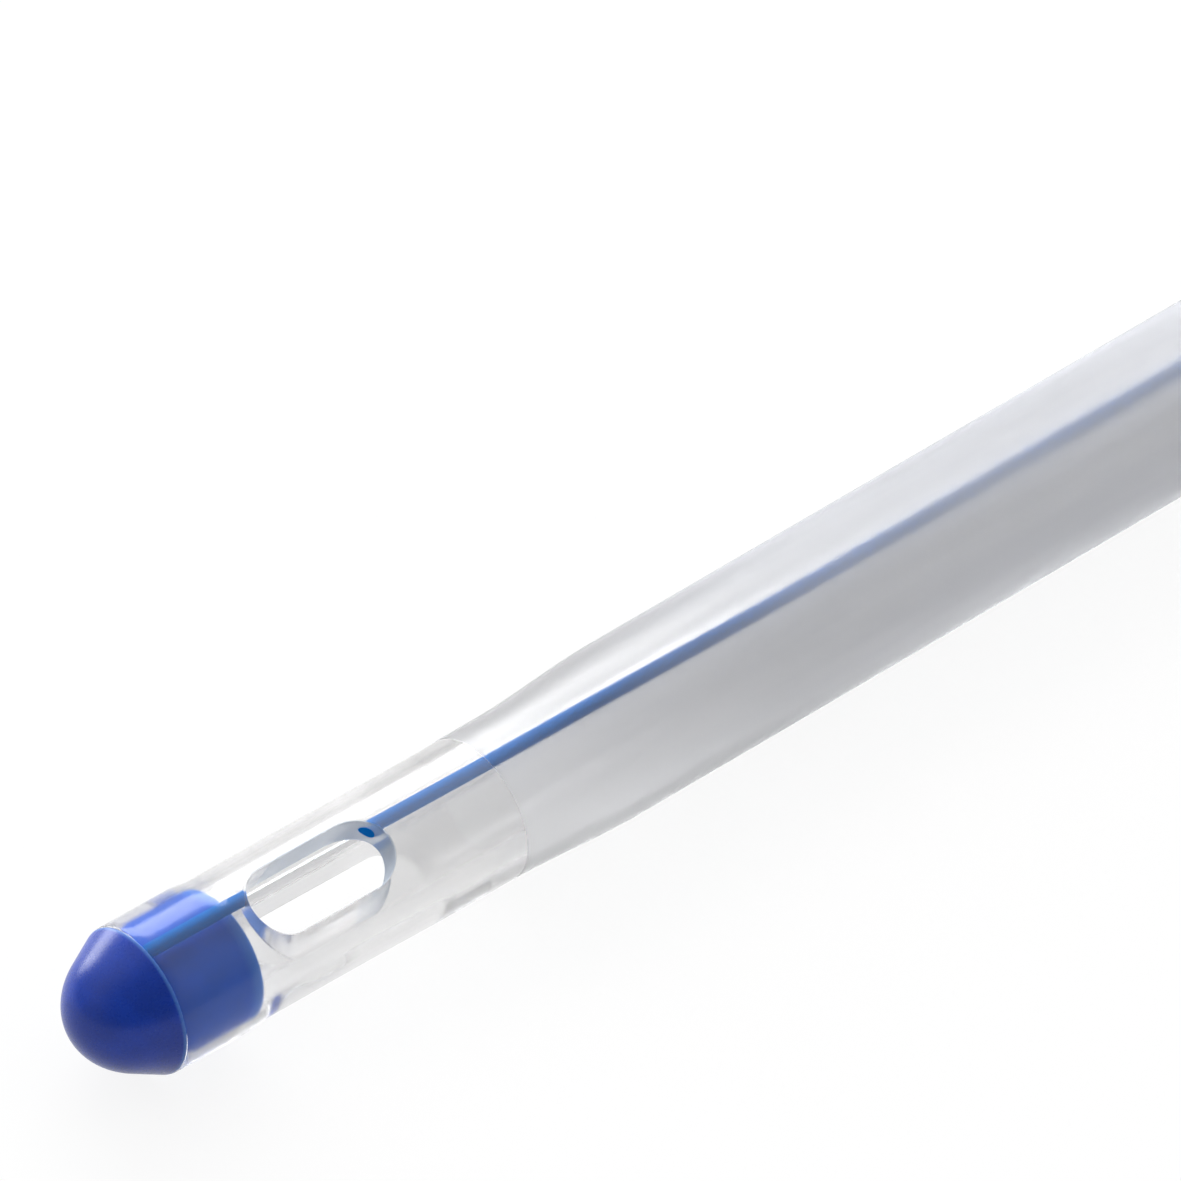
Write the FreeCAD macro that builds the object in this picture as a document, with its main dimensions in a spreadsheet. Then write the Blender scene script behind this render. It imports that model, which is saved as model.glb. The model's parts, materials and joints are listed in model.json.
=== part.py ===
import FreeCAD
import Part
import Sketcher
import math
import os
import re

# Two-way silicone balloon catheter, 16 French, lying on a table in one soft turn.
# Lengths are in millimetres and angles in degrees. The route starts at the rim where
# the blue tip meets the tube, and runs along +X. "Left" is +Y there, and "up" is +Z.

SIZES = {
    # Shaft
    "shaft_radius": 2.667,
    "lumen_radius": 1.45,
    "total_length": 400.0,
    # Blue tip
    "spigot_radius": 1.62,
    "spigot_length": 3.8,
    "spigot_chamfer": 0.25,
    "swell_ramp": 0.35,
    "flank_angle": 26.8,
    "dome_length": 2.63,
    # Drainage eyes, the top one and a longer one underneath, each punched through one wall
    "eye_start": 4.2,
    "eye_length": 5.85,
    "eye_width": 2.58,
    "eye_turn": 27.0,
    "low_eye_start": 4.8,
    "low_eye_length": 8.2,
    "low_eye_turn": 200.0,
    # Blue marker strand in the wall
    "strand_radius": 0.25,
    "strand_offset": 2.08,
    "strand_turn": 8.0,
    "channel_sides": 6,
    # Inflation lumen in the wall
    "inflation_radius": 0.36,
    "inflation_offset": 2.06,
    "inflation_from_eye": 125.0,
    "seal_length": 2.8,
    "port_radius": 0.3,
    # Balloon sleeve
    "sleeve_start": 14.9,
    "sleeve_length": 38.0,
    "sleeve_wall": 0.263,
    "sleeve_edge": 0.04,
    "front_ramp": 6.1,
    "rear_ramp": 4.0,
    "front_bond": 11.2,
    "rear_bond": 7.0,
    "balloon_gap": 0.03,
    # Route of the shaft on the table
    "tip_run": 10.2,
    "bend_run": 4.7,
    "bend_angle": 1.85,
    "front_run": 190.0,
    "turn_radius": 32.0,
    "turn_angle": 40.0,
    "lift_radius": 250.0,
    "lift_run": 45.0,
    # Drainage funnel, measured from the shaft's end inside it
    "neck_length": 22.0,
    "neck_radius": 4.1,
    "throat_radius": 1.6,
    "throat_length": 2.0,
    "cone_length": 8.0,
    "socket_radius": 4.5,
    "socket_length": 13.0,
    "funnel_wall": 1.9,
    "bead_radius": 7.0,
    "bead_width": 3.0,
    # Inflation arm
    "arm_branch": 10.0,
    "arm_angle": 35.0,
    "arm_length": 34.0,
    "arm_root_radius": 3.4,
    "arm_wall": 1.2,
    "arm_cone": 3.5,
    "arm_bore_radius": 0.5,
    # Inflation valve, measured out from the arm's end face
    "valve_plug_radius": 3.2,
    "valve_plug_length": 12.0,
    "valve_flange_radius": 4.4,
    "flange_width": 1.6,
    "chamber_radius": 2.5,
    "chamber_depth": 6.5,
    "seat_depth": 1.4,
    "seat_width": 1.4,
    "seat_hole_radius": 1.4,
    "luer_wall": 1.1,
    "luer_radius": 2.1,
    "luer_length": 6.0,
    "luer_step": 0.4,
    "well_length": 3.8,
    "lug_width": 2.4,
    "lug_height": 0.7,
    "lug_thickness": 1.2,
    # Valve stem, seal and spring
    "seal_thickness": 0.8,
    "seal_radius": 2.2,
    "plate_thickness": 0.6,
    "plate_radius": 2.1,
    "stem_radius": 0.72,
    "stem_head_radius": 1.1,
    "guide_clearance": 0.08,
    "stem_tail": 1.5,
    "stem_flat": 0.3,
    "stem_flat_lead": 1.0,
    "stem_reach": 0.1,
    "spring_wire_radius": 0.18,
    "spring_radius": 1.6,
    "spring_turns": 3.0,
    "wire_sides": 4,
}

doc = FreeCAD.newDocument("catheter")
sheet = doc.addObject("Spreadsheet::Sheet", "sizes")
for row, (alias, value) in enumerate(SIZES.items(), start=1):
    sheet.set(f"A{row}", alias.replace("_", " "))
    sheet.set(f"B{row}", str(value))
    sheet.setAlias(f"B{row}", alias)
doc.recompute()


def size(alias):
    """The value of one cell of the sheet."""
    return float(sheet.get(alias))


def bind(item, **expressions):
    """Ties properties of an object to expressions on the sheet's cells."""
    for prop, expression in expressions.items():
        item.setExpression(prop, expression)


def cell(expression):
    """Writes the sheet's names in an expression as cells: 'a + b' becomes 'sizes.a + sizes.b'."""
    return re.sub("[a-z_]+", lambda word: f"sizes.{word[0]}" if word[0] in SIZES else word[0], expression)


def number(expression):
    """The number that an expression on the sheet gives."""
    return float(sheet.evalExpression(cell(expression)))


def corner_radius(radius, sides):
    """The expression of the corner radius of a polygon with the area of a circle."""
    return f"{radius} * sqrt({math.pi} / ({sides} * sin(360deg / {sides}) / 2))"


# Worked-out sizes, as expressions, for features that are bound to the sheet
SWELL_RADIUS = "sqrt(shaft_radius ^ 2 - lumen_radius ^ 2 + spigot_radius ^ 2)"
SLEEVE_RADIUS = "shaft_radius + sleeve_wall"
NOSE_RADIUS = f"(({SWELL_RADIUS}) - dome_length * tan(flank_angle)) * cos(flank_angle) / (1 - sin(flank_angle))"
FLANK_LENGTH = f"(({SWELL_RADIUS}) - {NOSE_RADIUS} * cos(flank_angle)) / tan(flank_angle)"
MOUTH = "throat_length + cone_length + socket_length"

# The same, as numbers, for the route and the placements
axis_height = size("shaft_radius") + size("sleeve_wall")
mouth = size("throat_length") + size("cone_length") + size("socket_length")
eye_middle = size("eye_start") + size("eye_length") / 2
inflation_turn = size("eye_turn") - size("inflation_from_eye")


def beside(offset, turn):
    """Left and up offsets of a point of the wall, turned from the top towards the right."""
    angle = math.radians(turn)
    return -offset * math.sin(angle), offset * math.cos(angle)


def lift_angle():
    """The slope in radians at which the funnel's bead touches the table.

    The route leaves the table on an arc and a straight run, and the bead's near edge is
    as low as the table: height + R (1 - cos a) + D sin a - bead cos a = 0.
    """
    reach = size("lift_run") + mouth - size("bead_width")
    across = size("lift_radius") + size("bead_radius")
    level = size("lift_radius") + axis_height
    return math.atan2(across, reach) - math.asin(level / math.hypot(across, reach))


def spans():
    """The route of the shaft's axis: runs (length) and turns (radius, angle)."""
    bend = math.radians(size("bend_angle"))
    turn = math.radians(size("turn_angle"))
    lift = lift_angle()
    bend_radius = size("bend_run") / bend
    used = size("tip_run") + size("bend_run") + size("front_run")
    used += size("turn_radius") * turn + size("lift_radius") * lift + size("lift_run")
    back_run = size("total_length") - size("dome_length") - mouth - used
    return [
        ("run", size("tip_run"), 0.0),
        ("left", bend_radius, bend),
        ("run", size("front_run"), 0.0),
        ("left", size("turn_radius"), turn),
        ("run", back_run, 0.0),
        ("up", size("lift_radius"), lift),
        ("run", size("lift_run"), 0.0),
    ]


def walk(left=0.0, up=0.0, begin=0.0, count=None):
    """Edges of a line beside the axis, and the axis's frame at its end.

    The line starts at the distance begin from the rim and runs over the first count
    spans, or all. On a turn, the offset line keeps the axis's centre, so its radius is
    the axis's less the offset.
    """
    place = FreeCAD.Vector(begin, 0, axis_height)
    ahead = FreeCAD.Vector(1, 0, 0)
    aside = FreeCAD.Vector(0, 1, 0)
    above = FreeCAD.Vector(0, 0, 1)
    edges = []
    skip = begin
    for kind, length, angle in spans()[:count]:
        start = place + aside * left + above * up
        if kind == "run":
            place = place + ahead * (length - skip)
            skip = 0.0
            edges.append(Part.LineSegment(start, place + aside * left + above * up).toShape())
            continue
        towards = aside if kind == "left" else above
        pivot = above if kind == "left" else aside * -1
        centre = place + towards * length
        points = []
        for share in (0.5, 1.0):
            spin = FreeCAD.Rotation(pivot, math.degrees(angle * share))
            points.append(centre + spin.multVec(start - centre))
        edges.append(Part.Arc(start, points[0], points[1]).toShape())
        place = centre + spin.multVec(place - centre)
        ahead = spin.multVec(ahead)
        aside = spin.multVec(aside)
        above = spin.multVec(above)
    frame = FreeCAD.Placement(FreeCAD.Matrix(
        ahead.x, aside.x, above.x, place.x,
        ahead.y, aside.y, above.y, place.y,
        ahead.z, aside.z, above.z, place.z,
        0, 0, 0, 1))
    return edges, frame


def add(kind, name, placement=None, **expressions):
    """Adds an object whose properties are bound to the sheet."""
    item = doc.addObject(kind, name)
    bind(item, **{prop: cell(text) for prop, text in expressions.items()})
    if placement is not None:
        item.Placement = placement
    return item


def placed(x=0.0, y=0.0, z=0.0, axis=(0, 0, 1), angle=0.0):
    return FreeCAD.Placement(FreeCAD.Vector(x, y, z), FreeCAD.Rotation(FreeCAD.Vector(*axis), angle))


def along(x=0.0, left=0.0, up=0.0):
    """A placement on the straight tip run whose +Z looks along the tube."""
    return placed(x, left, axis_height + up, (0, 1, 0), 90)


def cut(name, base, tool):
    item = doc.addObject("Part::Cut", name)
    item.Base = base
    item.Tool = tool
    return item


def fuse(name, shapes):
    item = doc.addObject("Part::MultiFuse", name)
    item.Shapes = shapes
    return item


def swept(name, section, spine):
    """The solid that a section makes along a spine."""
    item = doc.addObject("Part::Sweep", name)
    item.Sections = [section]
    item.Spine = (spine, [])
    item.Solid = True
    item.Frenet = True
    return item


def rod(name, radius, left=0.0, up=0.0, begin=0.0, fine=False):
    """A rod of the given radius along the shaft's route, at an offset from its axis.

    A fine rod is a strand or a channel under 1 mm across, whose section is a polygon as
    large as the round one.
    """
    spine = doc.addObject("Part::Feature", name + "_route")
    spine.Shape = Part.Wire(walk(left, up, begin)[0])
    place = along(begin, left, up)
    if fine:
        section = add("Part::RegularPolygon", name + "_section", place,
                      Circumradius=corner_radius(radius, "channel_sides"))
        section.Polygon = int(size("channel_sides"))
    else:
        section = add("Part::Circle", name + "_section", place, Radius=radius)
    return swept(name, section, spine)


def fine_bar(name, radius, left, up, length):
    """A straight fine rod from the rim, with the polygon section of the bent ones."""
    item = add("Part::Prism", name, along(0, left, up), Circumradius=corner_radius(radius, "channel_sides"))
    item.Polygon = int(size("channel_sides"))
    item.Height = length
    return item


def turned(name, corners, placement=None):
    """A turned piece: a closed outline of (x, radius) corners, revolved about +X.

    Each corner's two coordinates are expressions on the sheet, bound to constraints.
    """
    sketch = doc.addObject("Sketcher::SketchObject", name + "_outline")
    spots = [(number(x), number(radius)) for x, radius in corners]
    for index, spot in enumerate(spots):
        after = spots[(index + 1) % len(spots)]
        line = Part.LineSegment(FreeCAD.Vector(*spot, 0), FreeCAD.Vector(*after, 0))
        sketch.addGeometry(line, False)
    for index, (x, radius) in enumerate(corners):
        before = (index - 1) % len(corners)
        sketch.addConstraint(Sketcher.Constraint("Coincident", before, 2, index, 1))
        for kind, expression, value in (("DistanceX", x, spots[index][0]), ("DistanceY", radius, spots[index][1])):
            datum = sketch.addConstraint(Sketcher.Constraint(kind, -1, 1, index, 1, value))
            sketch.setExpression(f"Constraints[{datum}]", cell(expression))
    item = doc.addObject("Part::Revolution", name)
    item.Source = sketch
    item.Axis = FreeCAD.Vector(1, 0, 0)
    item.Solid = True
    if placement is not None:
        item.Placement = placement
    return item


# The blue tip: a cone flank that runs tangent into a ball nose, and the spigot that plugs the lumen
flank_cone = add("Part::Cone", "flank_cone", placed(0, 0, axis_height, (0, 1, 0), -90), Radius1=SWELL_RADIUS,
                 Radius2=NOSE_RADIUS + " * cos(flank_angle)", Height=FLANK_LENGTH)
nose_centre = number(NOSE_RADIUS) - size("dome_length")
nose = add("Part::Sphere", "nose", placed(nose_centre, 0, axis_height, (0, 1, 0), -90), Radius=NOSE_RADIUS,
           Angle1="flank_angle")
spigot = turned("spigot", [
    ("0", "0"),
    ("0", "spigot_radius"),
    ("spigot_length - spigot_chamfer", "spigot_radius"),
    ("spigot_length", "spigot_radius - spigot_chamfer"),
    ("spigot_length", "0"),
], placed(0, 0, axis_height))
tip_plug = fuse("tip_plug", [nose, flank_cone, spigot])

# The shaft: one clear extrusion, stretched over the spigot, with three lumens in it
swell = turned("swell", [
    ("0", "0"),
    ("0", SWELL_RADIUS),
    ("spigot_length", SWELL_RADIUS),
    ("spigot_length + swell_ramp", "shaft_radius"),
    ("spigot_length + swell_ramp", "0"),
], placed(0, 0, axis_height))
stretched_lumen = turned("stretched_lumen", [
    ("0", "0"),
    ("0", "spigot_radius"),
    ("spigot_length", "spigot_radius"),
    ("spigot_length + swell_ramp", "lumen_radius"),
    ("spigot_length + swell_ramp", "0"),
], placed(0, 0, axis_height))
strand_left, strand_up = beside(size("strand_offset"), size("strand_turn"))
inflation_left, inflation_up = beside(size("inflation_offset"), inflation_turn)


def eye_punch(eye):
    """The round-ended punch that goes from the axis out through one wall, turned about the axis."""
    sketch = doc.addObject("Sketcher::SketchObject", f"{eye}_outline")
    radius = size("eye_width") / 2
    middle = size(f"{eye}_start") + size(f"{eye}_length") / 2
    half = size(f"{eye}_length") / 2 - radius
    for side in (-1, 1):
        ends = (FreeCAD.Vector(-half, side * radius, 0), FreeCAD.Vector(half, side * radius, 0))
        sketch.addGeometry(Part.LineSegment(*ends), False)
    for end in (-1, 1):
        round_end = Part.Circle(FreeCAD.Vector(end * half, 0, 0), FreeCAD.Vector(0, 0, 1), radius)
        start = math.pi / 2 if end < 0 else -math.pi / 2
        sketch.addGeometry(Part.ArcOfCircle(round_end, start, start + math.pi), False)
    # The near end's arc runs from the left line to the right one, and the far end's arc back
    links = [(1, 1, 2, 1), (0, 1, 2, 2), (0, 2, 3, 1), (1, 2, 3, 2)]
    for link in links:
        sketch.addConstraint(Sketcher.Constraint("Tangent", *link))
    sketch.addConstraint(Sketcher.Constraint("Equal", 2, 3))
    sketch.addConstraint(Sketcher.Constraint("Symmetric", 2, 3, 3, 3, -1, 1))
    sketch.addConstraint(Sketcher.Constraint("PointOnObject", 3, 3, -1))
    width = sketch.addConstraint(Sketcher.Constraint("Radius", 2, radius))
    sketch.setExpression(f"Constraints[{width}]", cell("eye_width / 2"))
    reach = sketch.addConstraint(Sketcher.Constraint("DistanceX", -1, 1, 3, 3, half))
    sketch.setExpression(f"Constraints[{reach}]", cell(f"({eye}_length - eye_width) / 2"))
    sketch.Placement = placed(middle, 0, axis_height, (1, 0, 0), size(f"{eye}_turn"))
    item = add("Part::Extrusion", f"{eye}_punch", LengthFwd="2 * shaft_radius")
    item.Base = sketch
    item.DirMode = "Normal"
    item.Solid = True
    return item


punch = eye_punch("eye")
low_punch = eye_punch("low_eye")
shaft_outside = fuse("shaft_outside", [rod("shaft_rod", "shaft_radius"), swell])
inflation_rod = rod("inflation_rod", "inflation_radius", inflation_left, inflation_up, fine=True)
strand_rod = rod("strand_rod", "strand_radius", strand_left, strand_up, fine=True)
drainage_rod = rod("drainage_rod", "lumen_radius")

# The frame at the shaft's end carries the funnel, and the arm's frame carries the valve
end_frame = walk()[1]
arm_frame = end_frame.multiply(placed(-size("arm_branch"), 0, 0, (0, 0, 1), size("arm_angle")))
valve_frame = arm_frame.multiply(placed(size("arm_length")))
lengthwise = placed(0, 0, 0, (0, 1, 0), 90)

# The arm's bore meets the inflation lumen and stops short of the drainage lumen
bore_start = (size("inflation_offset") + size("inflation_radius") / 2) / math.sin(math.radians(size("arm_angle")))
arm_bore = add("Part::Cylinder", "arm_bore", arm_frame.multiply(placed(bore_start)).multiply(lengthwise),
               Radius="arm_bore_radius")
arm_bore.Height = size("arm_length") - size("valve_plug_length") - bore_start

# The port under the sleeve lets the inflation lumen fill the balloon
run_frame = walk(count=2)[1]
sleeve_frame = run_frame.multiply(placed(size("sleeve_start") - size("tip_run") - size("bend_run")))
port_middle = (size("front_bond") + size("sleeve_length") - size("rear_bond")) / 2
port_frame = sleeve_frame.multiply(placed(port_middle, 0, 0, (1, 0, 0), inflation_turn))
port = add("Part::Cylinder", "port", port_frame.multiply(placed(0, 0, size("inflation_offset"))),
           Radius="port_radius", Height="shaft_radius")

shaft_tube = cut("shaft_tube", shaft_outside, fuse("shaft_hollows", [
    drainage_rod, stretched_lumen, inflation_rod, strand_rod, punch, low_punch, port, arm_bore]))

# The top eye cuts the marker strand in two, a short front piece and the long one
front_strand = fine_bar("front_strand", "strand_radius", strand_left, strand_up, eye_middle)
marker_strand_front = cut("marker_strand_front", front_strand, punch)
long_strand = rod("long_strand", "strand_radius", strand_left, strand_up, eye_middle, fine=True)
marker_strand = cut("marker_strand", long_strand, punch)

inflation_lumen_seal = fine_bar("inflation_lumen_seal", "inflation_radius", inflation_left, inflation_up,
                                size("seal_length"))

# The balloon sleeve is bonded to the shaft at both ends and lies loose between them
balloon_sleeve = turned("balloon_sleeve", [
    ("0", "shaft_radius"),
    ("0", "shaft_radius + sleeve_edge"),
    ("front_ramp", SLEEVE_RADIUS),
    ("sleeve_length - rear_ramp", SLEEVE_RADIUS),
    ("sleeve_length", "shaft_radius + sleeve_edge"),
    ("sleeve_length", "shaft_radius"),
    ("sleeve_length - rear_bond", "shaft_radius"),
    ("sleeve_length - rear_bond", "shaft_radius + balloon_gap"),
    ("front_bond", "shaft_radius + balloon_gap"),
    ("front_bond", "shaft_radius"),
], sleeve_frame)

# The funnel: neck over the shaft's end, drainage socket and inflation arm in one moulding
funnel_outside = turned("funnel_outside", [
    ("-neck_length", "0"),
    ("-neck_length", "neck_radius"),
    ("throat_length", "neck_radius"),
    ("throat_length + cone_length", "socket_radius + funnel_wall"),
    (MOUTH + " - bead_width", "socket_radius + funnel_wall"),
    (MOUTH + " - bead_width", "bead_radius"),
    (MOUTH, "bead_radius"),
    (MOUTH, "0"),
], end_frame)
arm_outside = turned("arm_outside", [
    ("0", "0"),
    ("0", "arm_root_radius"),
    ("arm_length - valve_plug_length - arm_cone", "arm_root_radius"),
    ("arm_length - valve_plug_length", "valve_plug_radius + arm_wall"),
    ("arm_length", "valve_plug_radius + arm_wall"),
    ("arm_length", "0"),
], arm_frame)
funnel_hollow = turned("funnel_hollow", [
    ("-neck_length", "0"),
    ("-neck_length", "shaft_radius"),
    ("0", "shaft_radius"),
    ("0", "throat_radius"),
    ("throat_length", "throat_radius"),
    ("throat_length + cone_length", "socket_radius"),
    (MOUTH, "socket_radius"),
    (MOUTH, "0"),
], end_frame)
valve_socket = add("Part::Cylinder", "valve_socket",
                   valve_frame.multiply(placed(-size("valve_plug_length"))).multiply(lengthwise),
                   Radius="valve_plug_radius", Height="valve_plug_length")
funnel_solid = fuse("funnel_solid", [funnel_outside, arm_outside])
y_funnel = cut("y_funnel", funnel_solid, fuse("funnel_hollows", [funnel_hollow, valve_socket, arm_bore]))

# The valve: a rear body in the arm and a luer body welded to its flange
SEAT = "flange_width + seat_depth"
WELL = SEAT + " + seat_width"
LUER_END = WELL + " + well_length + luer_length"
GUIDE_RADIUS = "stem_radius + guide_clearance"
valve_body = turned("valve_body", [
    ("-valve_plug_length", GUIDE_RADIUS),
    ("-valve_plug_length", "valve_plug_radius"),
    ("0", "valve_plug_radius"),
    ("0", "valve_flange_radius"),
    ("flange_width", "valve_flange_radius"),
    ("flange_width", "chamber_radius"),
    ("-chamber_depth", "chamber_radius"),
    ("-chamber_depth", GUIDE_RADIUS),
], valve_frame)
luer_tube = turned("luer_tube", [
    ("flange_width", "chamber_radius"),
    ("flange_width", "valve_flange_radius"),
    ("2 * flange_width", "valve_flange_radius"),
    ("2 * flange_width", "luer_radius + luer_wall"),
    (LUER_END, "luer_radius + luer_wall"),
    (LUER_END, "luer_radius"),
    (WELL + " + well_length", "luer_radius"),
    (WELL + " + well_length", "luer_radius - luer_step"),
    (WELL, "luer_radius - luer_step"),
    (WELL, "seat_hole_radius"),
    (SEAT, "seat_hole_radius"),
    (SEAT, "chamber_radius"),
], valve_frame)
lug_ring = turned("lug_ring", [
    (LUER_END + " - lug_thickness", "luer_radius + luer_wall / 2"),
    (LUER_END + " - lug_thickness", "luer_radius + luer_wall + lug_height"),
    (LUER_END, "luer_radius + luer_wall + lug_height"),
    (LUER_END, "luer_radius + luer_wall / 2"),
], valve_frame)
lug_reach = size("luer_radius") + size("luer_wall") + size("lug_height")
lug_bar = add("Part::Box", "lug_bar",
              valve_frame.multiply(placed(0, -lug_reach, -size("lug_width") / 2)),
              Length=LUER_END, Width="2 * (luer_radius + luer_wall + lug_height)", Height="lug_width")
lugs = doc.addObject("Part::Common", "lugs")
lugs.Base = lug_ring
lugs.Tool = lug_bar
luer_body = fuse("luer_body", [luer_tube, lugs])

# The stem slides in the rear body and carries the seal that closes on the seat
stem_turned = turned("stem_turned", [
    ("-chamber_depth - stem_tail", "0"),
    ("-chamber_depth - stem_tail", "stem_radius"),
    (SEAT + " - seal_thickness - plate_thickness", "stem_radius"),
    (SEAT + " - seal_thickness - plate_thickness", "plate_radius"),
    (SEAT + " - seal_thickness", "plate_radius"),
    (SEAT + " - seal_thickness", "stem_radius"),
    (SEAT, "stem_radius"),
    (SEAT, "stem_head_radius"),
    (WELL + " + well_length - stem_reach", "stem_head_radius"),
    (WELL + " + well_length - stem_reach", "0"),
], valve_frame)
flat_place = placed(-size("chamber_depth") - size("stem_tail"), size("stem_radius") - size("stem_flat"),
                    -size("stem_radius"))
stem_flat = add("Part::Box", "stem_flat", valve_frame.multiply(flat_place),
                Length="stem_tail + stem_flat_lead", Width="stem_flat", Height="2 * stem_radius")
valve_stem = cut("valve_stem", stem_turned, stem_flat)
valve_seal = turned("valve_seal", [
    (SEAT + " - seal_thickness", "stem_radius"),
    (SEAT + " - seal_thickness", "seal_radius"),
    (SEAT, "seal_radius"),
    (SEAT, "stem_radius"),
], valve_frame)

# The spring stands between the chamber's floor and the stem's plate
SPRING_LENGTH = "chamber_depth + " + SEAT + " - seal_thickness - plate_thickness - 2 * spring_wire_radius"
spring_frame = valve_frame.multiply(placed(-size("chamber_depth") + size("spring_wire_radius"))).multiply(lengthwise)
spring_line = add("Part::Helix", "spring_line", spring_frame, Radius="spring_radius", Height=SPRING_LENGTH,
                  Pitch="(" + SPRING_LENGTH + ") / spring_turns")
wire_start = spring_frame.multiply(placed(size("spring_radius"), 0, 0, (1, 0, 0), 90))
wire_section = add("Part::RegularPolygon", "wire_section", wire_start,
                   Circumradius=corner_radius("spring_wire_radius", "wire_sides"))
wire_section.Polygon = int(size("wire_sides"))
valve_spring = swept("valve_spring", wire_section, spring_line)

NODES = [
    tip_plug, shaft_tube, marker_strand_front, marker_strand, inflation_lumen_seal, balloon_sleeve,
    y_funnel, valve_body, luer_body, valve_stem, valve_seal, valve_spring,
]
doc.recompute()

# The finished catheter lies with its footprint's middle over the origin, on z = 0
footprint = FreeCAD.BoundBox()
for node in NODES:
    footprint.add(node.Shape.optimalBoundingBox(False, False))
shift = FreeCAD.Vector(-footprint.Center.x, -footprint.Center.y, -footprint.ZMin)
for node in NODES:
    node.Placement = FreeCAD.Placement(node.Placement.Base + shift, node.Placement.Rotation)
doc.recompute()

for item in doc.Objects:
    if "Invalid" in item.State or "Error" in item.State:
        raise RuntimeError(f"{item.Name} failed to build")
for node in NODES:
    node.Label = node.Name
    if node.Shape.isNull() or not node.Shape.isValid() or len(node.Shape.Solids) != 1:
        raise RuntimeError(f"{node.Label} is not one valid solid")

os.makedirs("parts", exist_ok=True)
for node in NODES:
    node.Shape.exportStep(f"parts/{node.Label}.step")
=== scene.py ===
import bmesh
import bpy
import json
import math
import numpy as np
from bpy.props import FloatProperty, FloatVectorProperty, IntProperty
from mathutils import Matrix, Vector
from types import SimpleNamespace


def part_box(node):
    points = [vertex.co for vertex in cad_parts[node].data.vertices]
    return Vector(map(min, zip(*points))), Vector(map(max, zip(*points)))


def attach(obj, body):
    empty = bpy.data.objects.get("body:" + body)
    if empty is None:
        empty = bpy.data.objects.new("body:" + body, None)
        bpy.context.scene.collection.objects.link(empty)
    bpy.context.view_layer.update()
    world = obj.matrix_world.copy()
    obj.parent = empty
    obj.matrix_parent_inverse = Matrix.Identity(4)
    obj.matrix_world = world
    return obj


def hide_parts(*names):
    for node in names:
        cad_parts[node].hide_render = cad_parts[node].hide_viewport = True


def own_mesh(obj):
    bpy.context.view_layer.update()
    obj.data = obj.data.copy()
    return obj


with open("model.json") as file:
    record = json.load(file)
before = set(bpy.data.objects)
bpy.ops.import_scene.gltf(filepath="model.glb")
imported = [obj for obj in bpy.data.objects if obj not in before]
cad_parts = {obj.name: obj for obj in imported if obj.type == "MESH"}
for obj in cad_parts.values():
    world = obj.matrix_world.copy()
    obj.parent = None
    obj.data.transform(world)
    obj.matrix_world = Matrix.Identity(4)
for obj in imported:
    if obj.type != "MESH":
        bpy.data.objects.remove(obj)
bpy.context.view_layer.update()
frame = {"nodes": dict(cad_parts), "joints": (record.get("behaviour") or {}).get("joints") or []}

bl_info = {
    "name": "Clear silicone balloon catheter",
    "version": (1, 0, 0),
    "blender": (4, 5, 0),
    "location": "3D View > Sidebar > Catheter",
    "description": "Dresses a two-way balloon catheter and sets its stage",
    "category": "Object",
}

# Lengths are written in millimetres and angles in degrees, as in the part, and kept in Blender's units.
MM = 0.001
DEGREE = math.pi / 180


# Sizes and colours that a user would change

def in_mm(name, description, default):
    """A length property, given in millimetres."""
    return FloatProperty(name=name, description=description, default=default * MM, unit="LENGTH")


def in_degrees(name, description, default):
    """An angle property, given in degrees."""
    return FloatProperty(name=name, description=description, default=default * DEGREE, subtype="ANGLE")


def as_colour(name, description, default):
    """A colour property."""
    return FloatVectorProperty(name=name, description=description, default=default, subtype="COLOR")


class ShaftSizes(bpy.types.PropertyGroup):
    radius: in_mm("Tube radius", "Outer radius of the tube", 2.667)
    lumen_radius: in_mm("Lumen radius", "Radius of the drainage lumen", 1.45)
    swell_radius: in_mm("Rim radius", "Outer radius where the tube is stretched over the spigot", 2.755)
    spigot_radius: in_mm("Spigot radius", "Radius of the tip's spigot", 1.62)
    spigot_length: in_mm("Spigot length", "How far the spigot reaches in", 3.8)
    nose_half_width: in_mm("Nose half width", "Half width of the nose's ellipse", 2.548)
    nose_half_length: in_mm("Nose half length", "Half length of the nose's ellipse", 3.11)
    flank_angle: in_degrees("Flank angle", "Slope of the dome's flank", 26.8)
    eye_middle: in_mm("Eye middle", "Middle of the upper eye behind the rim", 7.125)
    eye_length: in_mm("Eye length", "Length of the upper eye", 5.85)
    eye_width: in_mm("Eye width", "Width of both punched eyes", 2.58)
    eye_turn: in_degrees("Eye turn", "Turn of the upper eye from the vertical", 27.0)
    far_middle: in_mm("Far eye middle", "Middle of the lower eye behind the rim", 8.9)
    far_length: in_mm("Far eye length", "Length of the lower eye", 8.2)
    far_turn: in_degrees("Far eye turn", "Turn of the lower eye from the vertical", 200.0)
    inflation_radius: in_mm("Inflation lumen radius", "Radius of the fine lumen in the wall", 0.36)
    inflation_offset: in_mm("Inflation lumen offset", "Distance of the fine lumen from the axis", 2.06)
    inflation_turn: in_degrees("Inflation lumen turn", "Turn of the fine lumen from the vertical", -98.0)
    droop: in_mm("Tip droop", "How far the tip hangs below the tube's line", 0.15)
    columns: IntProperty(name="Columns", description="Faces round the tube, a multiple of four", default=96)
    colour: as_colour("Silicone colour", "Tint of the clear silicone", (0.81, 0.81, 0.815))
    blue: as_colour("Tip colour", "Colour of the blue tip", (0.005, 0.045, 0.4))


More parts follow.
